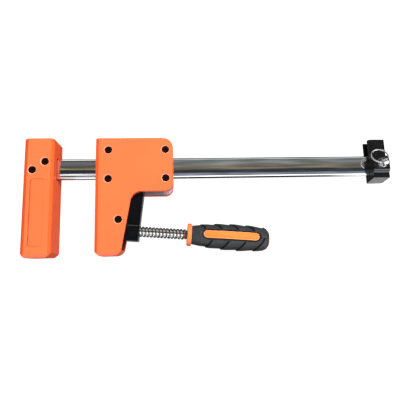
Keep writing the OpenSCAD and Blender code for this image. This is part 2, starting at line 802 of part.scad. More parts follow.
module handle_core() color(handle_orange) at_spindle() difference() {
    union() {
        along_axis() {
            translate([0, 0, collar_station]) cylinder(h = collar_thickness, d = collar_diameter);
            translate([0, 0, grip_start]) cylinder(h = grip_length + core_proud, d = core_diameter);
        }
        intersection() {
            along_axis() rotate_extrude($fn = 96) grip_section(inlay_sink);
            at_inlays() linear_extrude(grip_diameter) inlay_outline(0);
        }
    }
    translate([collar_station - past, 0, 0]) along_axis()
        cylinder(h = tang_length + 2 * past, d = tang_diameter + 2 * running_gap);
}

// Soft grip over the core, open at the inlays, with slanted tread grooves between them
module handle_grip() color(rubber) at_spindle() difference() {
    along_axis() rotate_extrude($fn = 96) grip_section(0);
    translate([grip_start - past, 0, 0]) along_axis()
        cylinder(h = grip_length + 2 * past, d = core_diameter + 2 * running_gap);
    at_inlays() linear_extrude(grip_diameter) inlay_outline(screw_gap);
    at_inlays() for (side = [-1, 1]) for (step = [0 : 3]) {
        along = grip_start + tread_first + step * tread_pitch + (side + 1) / 2 * tread_stagger;
        rotate([side * tread_turn, 0, 0]) translate([along, 0, grip_diameter / 2 - tread_depth])
            rotate([0, 0, side * tread_slant]) translate([-tread_length / 2, -tread_width / 2, 0])
                cube([tread_length, tread_width, grip_diameter]);
    }
}

bar();
fixed_jaw_sleeve();
fixed_jaw_core();
fixed_jaw_screws();
fixed_jaw_nuts();
end_stop();
lock_pin();
split_ring();
jaw_front_cover();
jaw_rear_cover();
jaw_core();
upper_guides();
lower_guides();
jaw_screws();
jaw_nuts();
thrust_socket();
spindle_clip();
sliding_arm();
grip_pins();
spindle();
handle_core();
handle_grip();
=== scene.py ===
"""Looks of the parallel clamp, dressed over its CAD frame.

The sizes named below are in millimetres, measured as in the CAD part: X from the fixed jaw's face along
the bar, Y from the bar's middle line, Z from the bar's middle plane. Meshes are in metres in the row frame.
A pair of numbers gives where a change starts and where it ends.
"""
import json
import math

import bmesh
import bpy
import numpy as np
from mathutils import Matrix, Vector


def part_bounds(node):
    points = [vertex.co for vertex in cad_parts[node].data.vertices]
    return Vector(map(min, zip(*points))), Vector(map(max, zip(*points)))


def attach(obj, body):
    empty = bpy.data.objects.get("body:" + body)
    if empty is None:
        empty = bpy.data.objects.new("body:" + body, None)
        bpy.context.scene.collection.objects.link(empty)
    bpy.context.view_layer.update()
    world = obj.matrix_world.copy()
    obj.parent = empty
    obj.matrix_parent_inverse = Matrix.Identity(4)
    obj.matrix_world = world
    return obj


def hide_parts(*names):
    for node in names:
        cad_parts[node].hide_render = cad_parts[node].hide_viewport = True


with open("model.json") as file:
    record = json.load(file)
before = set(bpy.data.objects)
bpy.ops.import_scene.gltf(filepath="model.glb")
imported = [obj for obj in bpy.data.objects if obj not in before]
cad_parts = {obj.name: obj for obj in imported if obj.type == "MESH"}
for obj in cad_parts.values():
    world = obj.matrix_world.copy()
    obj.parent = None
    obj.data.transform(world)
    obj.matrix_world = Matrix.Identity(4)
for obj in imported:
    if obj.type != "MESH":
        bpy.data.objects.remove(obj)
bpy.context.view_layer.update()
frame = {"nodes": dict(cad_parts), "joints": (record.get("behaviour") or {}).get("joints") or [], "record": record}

MM = 0.001
# The row frame's origin in part millimetres
ORIGIN = (191.85, -36.75, -19.75)
JOINTS = {joint["name"]: joint for joint in frame["joints"]}
BODY_OF = {node: body for body, nodes in frame["record"]["behaviour"]["bodies"].items() for node in nodes}
SLOT_OF = {part["node"]: part["material_slot"] for part in frame["record"]["subparts"]}

# Camera, fitted to the photograph, in row metres
CAMERA_PLACE = (-0.05317, -0.08664, 0.48390)
CAMERA_LOOK = (0.0765, 0.1741, -0.9818)
CAMERA_UP = (0.0181, 0.9842, 0.1760)
CAMERA_LENS = 33.98
CAMERA_NEAR = 0.01
SENSOR_WIDTH = 36.0

# Soft boxes: name, place and side in metres, and power; then the point that they are turned to
SOFT_BOXES = [
    ("soft box", (0.30, 0.52, 1.35), 0.8, 46.0),
    ("under box", (0.0, 0.0, -1.4), 1.6, 22.0),
    ("left box", (-1.5, -0.2, 0.5), 1.2, 9.0),
    ("right box", (1.6, -0.3, 0.4), 1.2, 4.5),
    ("toe box", (-0.1, -1.5, 0.5), 1.2, 15.0),
]
LIGHT_AIM = (-0.10, -0.05, 0.02)

# Floor and tent: reach in metres, and the tent's rows and columns
FLOOR_REACH = 6.0
TENT_ROWS = 13
TENT_COLUMNS = 48

# Sky, by parts of a direction: its brightness at the sides and the lean of that to the right, the bands'
# middle and reach, where the left bands give way to the right ones, their sway and their clouds
SKY_SIDE = 0.35
SKY_LEAN = 0.08
SKY_MIDDLE = 0.15
SKY_REACH = (1.2, 0.9)
SKY_CHANGE = (-0.17, -0.02)
SWAY = 0.03
SWAY_SCALE = 4.0
CLOUDS = (0.75, 1.4)
CLOUD_SCALE = 11.0
CLOUD_EDGES = (0.35, 0.7)
# Bands on the left and on the right: degrees from upright towards the heel, and a grey or a colour
SKY_LEFT = [
    (-88, 2.2), (-74, 2.2), (-64, 0.5), (-48, 0.7), (-40, 1.2), (-6, 0.9),
    (-3, (0.05, 0.055, 0.055)), (-0.6, (0.05, 0.055, 0.055)), (0.4, (0.8, 0.85, 0.85)), (2.5, 1.25),
    (3.3, (0.065, 0.06, 0.1)), (7, (0.042, 0.03, 0.055)), (11.8, (0.045, 0.036, 0.024)),
    (12.8, (0.31, 0.3, 0.17)), (15.8, (0.22, 0.21, 0.1)), (18, (0.12, 0.11, 0.065)),
    (21, (0.1, 0.095, 0.1)), (26, (0.13, 0.13, 0.14)), (31, (0.09, 0.085, 0.085)), (34, 0.9), (88, 0.95),
]
SKY_RIGHT = [
    (-88, 0.1), (-54, 0.1), (-44, 2.2), (-12, 2.2), (-6.3, 0.9),
    (-4.0, (0.22, 0.23, 0.25)), (-0.8, (0.26, 0.27, 0.32)), (1.5, (0.22, 0.23, 0.28)),
    (2.9, (0.055, 0.06, 0.08)), (6.5, (0.04, 0.043, 0.052)), (9.6, (0.06, 0.06, 0.055)),
    (11, (0.19, 0.17, 0.13)), (14, (0.19, 0.17, 0.125)), (17, (0.17, 0.15, 0.12)), (20, (0.25, 0.22, 0.21)),
    (24, (0.21, 0.22, 0.21)), (27, (0.19, 0.22, 0.21)), (31, (0.17, 0.19, 0.185)),
    (35, 0.9), (50, 0.6), (65, 0.3), (72, 0.05), (88, 0.03),
]
# White card low on the right: its brightness above and below the horizon, its sides, its top and its foot
CARD_ABOVE = 5.0
CARD_BELOW = 1.8
CARD_X = (0.38, 0.48)
CARD_Y = (-0.06, -0.14)
CARD_TOP = (0.45, 0.3)
CARD_FOOT = (-0.62, -0.72)
# Ground: brightness near by, straight below, and of the pale patches to both sides, with their edges
GROUND_NEAR = 0.02
GROUND_BELOW = 0.4
GROUND_BELOW_Z = (-0.975, -0.955)
PATCH = 0.5
PATCH_INNER_X = (0.3, 0.45)
PATCH_OUTER_X = (0.82, 0.7)
PATCH_LOW_Z = (-0.88, -0.8)
PATCH_HIGH_Z = (-0.25, -0.4)

# Radius of the rounded edges on copies of CAD pieces, and the pieces shown as they are
EDGE_ROUNDS = {
    "fixed_jaw_sleeve": 0.4, "jaw_front_cover": 0.5, "jaw_rear_cover": 0.5, "sliding_arm": 0.5,
    "end_stop": 0.25, "jaw_core": 0.25, "fixed_jaw_screws": 0.25, "jaw_screws": 0.25,
    "fixed_jaw_nuts": 0.25, "jaw_nuts": 0.25,
}
PIN_ROUND = 0.4
INNER_NODES = ("fixed_jaw_core", "upper_guides", "lower_guides", "thrust_socket", "spindle_clip", "grip_pins")

# Jaws: painted shade on the edges that slope to the left and to the right, and painted light on those that slope
# to the foot
LEFT_EDGE_SHADE = (0.70, 0.092, 0.020)
RIGHT_EDGE_SHADE = (0.84, 0.100, 0.020)
FOOT_EDGE_LIGHT = (0.93, 0.15, 0.065)
# Parts of a face's normal: where it stops being a flat, stops being a wall and looks to a side, the three
# parts on the side under the covers' lip, and where it looks to the front
OFF_FLAT = (0.97, 0.8)
OFF_WALL = (0.2, 0.4)
TO_SIDE = (0.2, 0.5)
LIP_RIGHT = (0.3, 0.4)
LIP_HEEL = (-0.55, -0.3)
LIP_UPRIGHT = (0.5, 0.4)
TO_FRONT = (0.9, 0.97)
# Painted shade: shares of the dark orange on other edges, on the panel's walls, under the lip, inside the toe and
# in holes
EDGE_SHADE = 0.95
PANEL_SHADE = 0.15
LIP_SHADE = 0.06
INSIDE_SHADE = 0.25
HOLE_SHADE = 0.02
# Where the front, the leg and the toe begin, between which heights the inside lies, and the covers' lip
FRONT_Z = (10.25, 12.25)
LEG_Y = (-36.75, -37.75)
TOE_Y = (-76.75, -86.75)
INSIDE_LOW_Z = (-14.75, -13.75)
INSIDE_HIGH_Z = (-9.75, -10.75)
LIP = 2.5
LIP_BLUR = 0.3
# Distances from a screw's axis to its hole of painted shade and its rim of painted highlight, and the sunk panel
HOLE_EDGE = (4.6, 4.4)
HIGHLIGHT_RIM_INNER = (4.35, 4.65)
HIGHLIGHT_RIM_OUTER = (5.7, 5.2)
PANEL_MIDDLE = (-17.35, -55.2)
PANEL_HALF = (8.6, 40.6)
PANEL_BLUR = 0.2
# Screws stand further apart than this
SCREW_REACH = 12.0

# Steel channel, bright above this height, and dark with painted shade below it
CHANNEL_BRIGHT_Y = (-48.75, -40.75)

# Bar, with the distances from its edges where a dark reflection is painted
BAR_EDGE_RADIUS = 2.8
BAR_CROWN = 0.73
BAR_DARK_REFLECTION = (0.6, 0.18)
BAR_FACE_STEPS = 25
BAR_EDGE_STEPS = 9
BAR_STATIONS = 40

# Spindle, with its foot in row millimetres, its axis and its turned directions
SPINDLE_FOOT = np.array(JOINTS["spindle_turn"]["pos_m"]) / MM
SPINDLE_AXIS = -np.array(JOINTS["spindle_turn"]["axis"])
SPINDLE_AXIS /= np.linalg.norm(SPINDLE_AXIS)
SPINDLE_FRONT = np.array([0.0, 0.0, 1.0])
SPINDLE_UP = np.cross(SPINDLE_FRONT, SPINDLE_AXIS)
THREAD_PITCH = 4.2
THREAD_DEPTH = 1.4
THREAD_RADIUS = 6.4
THREAD_START = 33.0
THREAD_END = 110.0
THREAD_RUN_OUT = (0.5, 4.0)
THREAD_STEPS = 40
# One pitch of the thread's section: share of the pitch and share of the depth
THREAD_SECTION = np.array([
    [0.0, 0], [0.06, 0], [0.08, 0.06], [0.21, 0.94], [0.24, 1],
    [0.76, 1], [0.79, 0.94], [0.92, 0.06], [0.94, 0], [1.0, 0]])
NOSE_RADIUS = 4.5
NOSE_TIP = 13.5
GROOVE_START = 17.4
GROOVE_END = 19.6
GROOVE_RADIUS = 3.3
TANG_RADIUS = 5.0
TANG_END = 165.0
# The arm's boss: depth below its front and height over the spindle's axis where a highlight is painted on the coat
BOSS_HIGHLIGHT_DEPTH = (0.8, 0.4)
BOSS_HIGHLIGHT_HEIGHT = (5.2, 6.2)

# Handle
COLLAR_START = 109.0
COLLAR_RADIUS = 13.9
GRIP_START = 114.2
GRIP_LENGTH = 95.0
GRIP_RADIUS = 15.9
GRIP_BOW = 340.0
GRIP_BELLY = 54.0
GRIP_END_ROUND = 5.0
GRIP_ROWS = 230
GRIP_END_ROWS = 14
GRIP_COLUMNS = 300
CORE_RADIUS = 9.5
CORE_PROUD = 0.4
# The grip over the core: its bore, its least wall, and the floor and the edge of the openings for the inlays
GRIP_BORE = 0.05
GRIP_WALL = 0.1
OPENING_FLOOR = 0.2
OPENING_EDGE = (-0.15, 0.25)
# Inlays: places and sizes, the roll of the edge and the share of the width where it starts, the steps round
# and the rows before and on the roll, and how soon a lap's points reach the round ends
INLAY_COUNT = 2
INLAY_TURN = 6.0
INLAY_MIDDLE = 48.1
INLAY_HALF_LENGTH = 33.9
INLAY_HALF_WIDTH = 5.1
INLAY_SINK = 0.4
INLAY_ROLL = 0.9
INLAY_ROLL_START = 0.8
INLAY_STEPS = 120
INLAY_ROWS = 9
INLAY_END_SHARE = 2.2
# Tread: pads in shares of their pitch, and where the plain neck, the plain end and the inlays' rims lie
PAD_PITCH = 20.0
PAD_SWEEP = 0.6
PAD_HEIGHT = 1.7
PAD_LEVEL = 0.7
PAD_OFFSET_ABOVE = 1.4
PAD_OFFSET_BELOW = 10.5
PAD_FALL = 0.6
GROOVE_OPENS = (0.915, 0.935)
GROOVE_CLOSES = (-0.01, 0.015)
GROOVE_DROP = 0.45
PLAIN_LEVEL = 0.55
PLAIN_NECK = (9, 11)
PLAIN_END = (90, 93)
PLAIN_BAND = (2.4, 3.0)
DARK_RIM = (1.2, 2.1)
DARK_RIM_SINK = 0.7

# Split ring, with the gap at its ends and the length of its crossing in radians
RING_RADIUS = 10.2
RING_WIRE = 0.55
RING_DROOP = 25.0
RING_SHIFT = 0.225
RING_START = 60.0
RING_GAP = 0.12
RING_CROSSING = 0.3
RING_STEPS = 260
RING_SIDES = 14


# Mesh helpers

def part_box(node):
    """Low and high corner of a CAD node in part millimetres."""
    return [np.array(corner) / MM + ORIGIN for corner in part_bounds(node)]


def grid_faces(rows, columns, close_rows=False, close_columns=False):
    """Quads of a grid of points with rows and columns counted from 0, joined round where asked."""
    row, column = np.meshgrid(np.arange(rows - (not close_rows)), np.arange(columns - (not close_columns)),
                              indexing="ij")
    above, beside = (row + 1) % rows, (column + 1) % columns
    quads = [row * columns + column, row * columns + beside,
             above * columns + beside, above * columns + column]
    return np.stack(quads, -1).reshape(-1, 4)


def smooth_step(value, low, high):
    """0 below low, 1 above high, and the cubic 3t^2 - 2t^3 between them."""
    t = np.clip((value - low) / (high - low), 0, 1)
    return t * t * (3 - 2 * t)


def finish_mesh(mesh, crease):
    """Merges doubles, drops empty faces, turns faces outwards and keeps edges over the crease angle sharp."""
    work = bmesh.new()
    work.from_mesh(mesh)
    bmesh.ops.remove_doubles(work, verts=work.verts, dist=1e-7)
    bmesh.ops.dissolve_degenerate(work, edges=work.edges, dist=1e-8)
    bmesh.ops.recalc_face_normals(work, faces=work.faces)
    work.to_mesh(mesh)
    work.free()
    mesh.shade_smooth()
    mesh.set_sharp_from_angle(angle=math.radians(crease))


def settle(piece, body, slot, replaced, finish=None):
    """Links a piece, hangs it on its body, gives it the finish named or else its slot's finish, and hides the CAD
    nodes that it stands for.
    """
    bpy.context.scene.collection.objects.link(piece)
    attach(piece, body)
    if replaced:
        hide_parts(*replaced)
    piece.data.materials.clear()
    piece.data.materials.append(FINISHES[finish or slot])
    return piece


def surface_piece(name, shells, body, slot, replaced=(), crease=35, finish=None, heights=None):
    """One piece from closed shells, each a pair of points in metres and faces. Heights, one for each point,
    are kept as an attribute for the finish."""
    starts = np.cumsum([0] + [len(points) for points, faces in shells])
    points = np.concatenate([points for points, faces in shells])
    faces = [face for start, (_, quads) in zip(starts, shells) for face in (quads + start).tolist()]
    mesh = bpy.data.meshes.new(name)
    mesh.from_pydata(points.tolist(), [], faces)
    if heights is not None:
        mesh.attributes.new("height", "FLOAT", "POINT").data.foreach_set("value", np.ravel(heights))
    finish_mesh(mesh, crease)
    return settle(bpy.data.objects.new(name, mesh), body, slot, replaced, finish)


def softened_copy(node, radius, finish=None, steps=2, crease=28):
    """Copy of a CAD node with its flats joined and its edges rounded by a radius in millimetres."""
    mesh = frame["nodes"][node].data.copy()
    mesh.name = node + "_soft"
    work = bmesh.new()
    work.from_mesh(mesh)
    bmesh.ops.remove_doubles(work, verts=work.verts, dist=2e-6)
    bmesh.ops.dissolve_limit(work, angle_limit=math.radians(0.5), verts=work.verts, edges=work.edges)
    work.to_mesh(mesh)
    work.free()
    mesh.shade_smooth()
    mesh.set_sharp_from_angle(angle=math.radians(crease))
    piece = settle(bpy.data.objects.new(node + "_soft", mesh), BODY_OF[node], SLOT_OF[node], [node], finish)
    bevel = piece.modifiers.new("rounded edges", "BEVEL")
    bevel.width = radius * MM
    bevel.segments = steps
    bevel.limit_method = "ANGLE"
    bevel.angle_limit = math.radians(crease)
    bevel.use_clamp_overlap = True
    even = piece.modifiers.new("even shading", "WEIGHTED_NORMAL")
    even.mode, even.weight, even.keep_sharp = "FACE_AREA", 100, True
    return piece


# Finishes

class Nodes:
    """A node tree with short calls for the nodes that the finishes and the sky share. Values are outputs of
    nodes, numbers, or colours as three numbers."""

    def __init__(self, tree, coordinates):
        self.tree = tree
        self.place = self.node("TexCoord").outputs[coordinates]

    def node(self, kind, **settings):
        made = self.tree.nodes.new("ShaderNode" + kind)
        for key, value in settings.items():
            setattr(made, key, value)
        return made

    def feed(self, value, socket):
        """Wires an output to a socket, or sets the socket to a number or a colour."""
        if isinstance(value, bpy.types.NodeSocket):
            self.tree.links.new(value, socket)
        else:
            socket.default_value = (*value, 1) if isinstance(value, tuple) else value

    def maths(self, operation, *values):
        """One sum of one or two values."""
        node = self.node("Math", operation=operation)
        for value, socket in zip(values, node.inputs):
            self.feed(value, socket)
        return node.outputs[0]

    def fold(self, operation, *values):
        """The same sum carried through several values."""
        result = values[0]
        for value in values[1:]:
            result = self.maths(operation, result, value)
        return result

    def product(self, *shares):
        """1 where all shares are 1, and 0 where any is 0."""
        return self.fold("MULTIPLY", *shares)

    def away(self, value, middle):
        """Distance of a value from a middle, to either side."""
        return self.maths("ABSOLUTE", self.maths("SUBTRACT", value, middle))

    def spread(self, value, low, high, start=0.3, end=0.7, kind="LINEAR"):
        """Maps value from start..end to low..high."""
        node = self.node("MapRange", interpolation_type=kind)
        for key, number in (("From Min", start), ("From Max", end), ("To Min", low), ("To Max", high)):
            node.inputs[key].default_value = number
        self.feed(value, node.inputs["Value"])
        return node.outputs["Result"]

    def ramp(self, value, start, end):
        """Share that goes straight from 0 at start to 1 at end."""
        return self.spread(value, 0, 1, start, end)

    def eased(self, value, start, end, low=0.0, high=1.0):
        """Goes from low at start to high at end by the cubic 3t^2 - 2t^3."""
        return self.spread(value, low, high, start, end, "SMOOTHSTEP")

    def blend(self, factor, first, second):
        """Mixes two colours by a factor."""
        node = self.node("Mix", data_type="RGBA")
        colours = [socket for socket in node.inputs if socket.type == "RGBA"]
        for value, socket in ((factor, node.inputs["Factor"]), (first, colours[0]), (second, colours[1])):
            self.feed(value, socket)
        return [socket for socket in node.outputs if socket.type == "RGBA"][0]

    def grey(self, value):
        """Colour with that value in all its parts."""
        node = self.node("CombineColor")
        for socket in node.inputs:
            self.feed(value, socket)
        return node.outputs[0]

    def split(self, vector):
        """The three parts of a vector."""
        node = self.node("SeparateXYZ")
        self.feed(vector, node.inputs[0])
        return node.outputs

    def noise(self, scale, detail=3.0, roughness=0.5, stretch=(1, 1, 1)):
        """Noise with that many features per metre, stretched along the axes."""
        mapping = self.node("Mapping")
        mapping.inputs["Scale"].default_value = stretch
        self.feed(self.place, mapping.inputs["Vector"])
        noise = self.node("TexNoise")
        noise.inputs["Scale"].default_value = scale
        noise.inputs["Detail"].default_value = detail
        noise.inputs["Roughness"].default_value = roughness
        self.feed(mapping.outputs["Vector"], noise.inputs["Vector"])
        return noise.outputs["Fac"]


class Finish(Nodes):
    """A material's node tree and its shader."""

    def __init__(self, name):
        self.material = bpy.data.materials.new(name)
        self.material.use_nodes = True
        super().__init__(self.material.node_tree, "Object")
        self.shader = self.tree.nodes["Principled BSDF"]

    def part_place(self):
        """X, Y and Z of the surface in part millimetres: the row place divided by MM, plus ORIGIN."""
        node = self.node("VectorMath", operation="MULTIPLY_ADD")
        self.feed(self.place, node.inputs[0])
        node.inputs[1].default_value = (1 / MM, 1 / MM, 1 / MM)
        node.inputs[2].default_value = ORIGIN
        return self.split(node.outputs[0])

    def height(self):
        """The height attribute of the piece's points."""
        return self.node("Attribute", attribute_name="height").outputs["Fac"]

    def cloud(self, scale, detail, light, dark, stretch=(1, 1, 1)):
        """Soft clouding from dark to light."""
        return self.blend(self.spread(self.noise(scale, detail, stretch=stretch), 0, 1), dark, light)

    def set(self, **values):
        """Sets constant sockets of the shader, underscores standing for spaces."""
        for key, value in values.items():
            self.shader.inputs[key.replace("_", " ")].default_value = value

    def colour(self, output):
        self.feed(output, self.shader.inputs["Base Color"])

    def rough(self, output):
        self.feed(output, self.shader.inputs["Roughness"])

    def relief(self, height, depth, strength=1.0):
        """Bump from a height of 0 to 1, scaled to a depth in metres."""
        node = self.node("Bump")
        node.inputs["Strength"].default_value = strength
        node.inputs["Distance"].default_value = depth
        self.feed(height, node.inputs["Height"])
        self.feed(node.outputs["Normal"], self.shader.inputs["Normal"])


def moulded_plastic(name, light, dark, low_rough, high_rough, edge=None):
    """Satin moulding: soft clouding of the colour, uneven gloss and a fine grain. An edge colour, a painted
    highlight, shows where the height attribute, here the share of the way to the rim, nears 1."""
    finish = Finish(name)
    colour = finish.cloud(22, 4, light, dark)
    # Painted highlight on the rolled edge
    if edge:
        colour = finish.blend(finish.ramp(finish.height(), 0.7, 0.9), colour, edge)
    finish.colour(colour)
    finish.rough(finish.spread(finish.noise(140, 3), low_rough, high_rough))
    finish.relief(finish.noise(2600, 2), 0.00003, 0.5)
    finish.set(Specular_IOR_Level=0.35)
    return finish.material


def jaw_moulding(name, light, dark, pale, low_rough, high_rough):
    """The jaws' moulding: satin plastic with painted light and shade that follow the way that a face looks and
    the place where it lies. Faces off the flat are edges, with painted shade to the left and the right and
    painted light to the foot. The panel's walls, the side under the covers' lip, which is matt, the inside of
    the toe and the screw holes get painted shade. A pale rim of painted highlight lies round each hole, by the
    distance from the nearest screw's axis."""
    finish = Finish(name)
    ramp, product = finish.ramp, finish.product
    x, y, z = finish.part_place()
    to_right, to_heel, to_front = finish.split(finish.node("NewGeometry").outputs["Normal"])
    upright = finish.maths("ABSOLUTE", to_front)
    front = ramp(z, *FRONT_Z)

    def shade(share):
        return tuple(share * part for part in dark)

    # Flats, and edges with painted shade and light by the way that they face
    flat = finish.cloud(22, 4, light, dark)
    sloping = ramp(upright, *OFF_FLAT)
    bevelled = product(sloping, ramp(upright, *OFF_WALL))
    face = finish.blend(sloping, flat, shade(EDGE_SHADE))
    to_other_side = [-part for part in TO_SIDE]
    for slope, looking, colour in ((bevelled, ramp(to_right, *to_other_side), LEFT_EDGE_SHADE),
                                   (sloping, ramp(to_right, *TO_SIDE), RIGHT_EDGE_SHADE),
                                   (bevelled, ramp(to_heel, *to_other_side), FOOT_EDGE_LIGHT)):
        face = finish.blend(product(slope, looking), face, colour)

    # Walls of the sunk panel, with painted shade where they look to the right and the heel
    shaded = finish.spread(finish.maths("ADD", to_right, to_heel), 0.1, 1, -0.2, 0.3)
    wall = finish.blend(shaded, flat, shade(PANEL_SHADE))
    panel = [ramp(finish.away(part, middle), half + PANEL_BLUR, half)
             for part, middle, half in zip((x, y), PANEL_MIDDLE, PANEL_HALF)]
    face = finish.blend(product(front, sloping, *panel), face, wall)

    # Painted shade on the side of the leg under the covers' lip, and on the inside of the toe
    low, high = part_box("jaw_front_cover")
    lip = high[2] - LIP
    sliding = ramp(x, low[0], low[0] + 1)
    under_lip = product(
        sliding, ramp(to_right, *LIP_RIGHT), ramp(to_heel, *LIP_HEEL), ramp(upright, *LIP_UPRIGHT),
        ramp(y, *LEG_Y), ramp(z, low[2], low[2] + 1), ramp(z, lip, lip - LIP_BLUR))
    face = finish.blend(under_lip, face, shade(LIP_SHADE))
    inside = product(sliding, ramp(to_front, *TO_FRONT), ramp(y, *TOE_Y), ramp(z, *INSIDE_LOW_Z),
                     ramp(z, *INSIDE_HIGH_Z))
    face = finish.blend(inside, face, shade(INSIDE_SHADE))

    # Screws: a painted highlight on the rims and painted shade in the holes
    squares = []
    for screw in SCREW_PLACES:
        sides = [finish.maths("SUBTRACT", part, middle) for part, middle in zip((x, y), screw)]
        squares.append(finish.maths("ADD", *[finish.maths("MULTIPLY", side, side) for side in sides]))
    reach = finish.maths("SQRT", finish.fold("MINIMUM", *squares))
    face = finish.blend(product(front, ramp(reach, *HIGHLIGHT_RIM_INNER), ramp(reach, *HIGHLIGHT_RIM_OUTER)), face, pale)
    finish.colour(finish.blend(product(front, ramp(reach, *HOLE_EDGE)), face, shade(HOLE_SHADE)))

    gloss = finish.spread(finish.noise(140, 3), low_rough, high_rough)
    finish.rough(finish.maths("MAXIMUM", gloss, under_lip))
    finish.relief(finish.noise(2600, 2), 0.00003, 0.5)
    finish.set(Specular_IOR_Level=0.13)
    return finish.material


def bright_plate(name, light, dark, low_rough, high_rough, wave_depth, bar_edge_reflection=None):
    """Bright plate: polish lines along the bar in its gloss, a faint cloud and slow waves in the surface. An
    edge colour is a painted dark reflection along the bar's edges, by the distance from the bar's middle line."""
    finish = Finish(name)
    colour = finish.cloud(9, 3, light, dark, (0.4, 3, 3))
    # Painted dark reflection along the bar's edges
    if bar_edge_reflection:
        low, high = part_box("bar")
        middle, half = (low[1] + high[1]) / 2, (high[1] - low[1]) / 2
        away = finish.away(finish.part_place()[1], middle)
        colour = finish.blend(finish.ramp(away, *[half - toned for toned in BAR_DARK_REFLECTION]), colour, bar_edge_reflection)
    finish.colour(colour)
    finish.rough(finish.spread(finish.noise(700, 3, stretch=(0.04, 1, 1)), low_rough, high_rough))
    finish.relief(finish.noise(60, 2, stretch=(0.35, 1, 1)), wave_depth, 0.6)
    finish.set(Metallic=1.0)
    return finish.material


def shaded_thread(name, crest, root):
    """Bright rolled thread, with painted shade in its roots: colour and gloss follow the thread's height."""
    finish = Finish(name)
    streaks = finish.maths("ADD", finish.height(), finish.spread(finish.noise(260, 4), -0.12, 0.12))
    # Painted shade in the roots, by the thread's height
    finish.colour(finish.blend(finish.ramp(streaks, 0.2, 0.75), root, crest))
    finish.rough(finish.spread(streaks, 0.3, 0.07, 0.1, 0.8))
    finish.relief(finish.noise(1500, 2), 0.00004, 0.4)
    finish.set(Metallic=1.0)
    return finish.material


def coated_metal(name, light, dark, low_rough, high_rough, grain, depth, gloss=0.5, boss_edge_highlight=None):
    """Dark coat over metal: mottled tone, uneven gloss and the metal's grain showing through. An edge colour
    is a painted highlight along the upper edge of the arm's boss's front, by the height over the
    spindle's axis: (x - foot x) * up x + (y - foot y) * up y."""
    finish = Finish(name)
    colour = finish.cloud(60, 4, light, dark)
    # Painted highlight along the upper edge of the boss's front
    if boss_edge_highlight:
        place, foot = finish.part_place(), SPINDLE_FOOT + ORIGIN
        sides = [finish.maths("MULTIPLY", finish.maths("SUBTRACT", place[axis], foot[axis]), SPINDLE_UP[axis])
                 for axis in (0, 1)]
        front = part_box("sliding_arm")[1][2]
        toned = finish.product(finish.ramp(place[2], *[front - down for down in BOSS_HIGHLIGHT_DEPTH]),
                              finish.ramp(finish.maths("ADD", *sides), *BOSS_HIGHLIGHT_HEIGHT))
        colour = finish.blend(toned, colour, boss_edge_highlight)
    finish.colour(colour)
    finish.rough(finish.spread(finish.noise(180, 3), low_rough, high_rough))
    finish.relief(finish.noise(grain, 4, 0.6), depth, 0.5)
    finish.set(Specular_IOR_Level=gloss)
    return finish.material


def channel_steel(name, bright, leg_shade, low_rough, high_rough):
    """The jaw's steel channel: zinc bright along the block, dark with painted shade down the leg, with rolling
    streaks."""
    finish = Finish(name)
    streaks = finish.spread(finish.noise(300, 4, stretch=(0.15, 1, 1)), 0.8, 1.0)
    # Painted shade down the leg, below the bright block
    height = finish.ramp(finish.part_place()[1], *CHANNEL_BRIGHT_Y)
    finish.colour(finish.blend(finish.product(height, streaks), leg_shade, bright))
    finish.rough(finish.spread(finish.noise(180, 3), low_rough, high_rough))
    finish.relief(finish.noise(1200, 4, 0.6), 0.00004, 0.5)
    finish.set(Metallic=0.3, Specular_IOR_Level=0.1)
    return finish.material


def soft_rubber(name, pad, hollow):
    """Soft grip: pads lighter than the dark hollows, by the relief's height, a matt sheen and a fine pebble."""
    finish = Finish(name)
    pad_tone = finish.maths("ADD", finish.height(), finish.spread(finish.noise(90, 4), -0.15, 0.15))
    finish.colour(finish.blend(finish.ramp(pad_tone, 0.1, 0.95), hollow, pad))
    finish.rough(finish.spread(finish.noise(240, 3), 0.45, 0.62))
    finish.relief(finish.noise(1900, 2), 0.00006, 0.5)
    finish.set(Specular_IOR_Level=0.3)
    return finish.material


def screw_places():
    """Axes of the jaws' screws, as X and Y in part millimetres: the middles of the screw nodes' loose
    pieces."""
    places = []
    for node in ("fixed_jaw_screws", "jaw_screws"):
        mesh = frame["nodes"][node].data
        points = np.empty(len(mesh.vertices) * 3)
        mesh.vertices.foreach_get("co", points)
        points = points.reshape(-1, 3)[:, :2] / MM + ORIGIN[:2]
        while len(points):
            near = np.hypot(*(points - points[0]).T) < SCREW_REACH
            places.append(((points[near].min(0) + points[near].max(0)) / 2).tolist())
            points = points[~near]
    return places


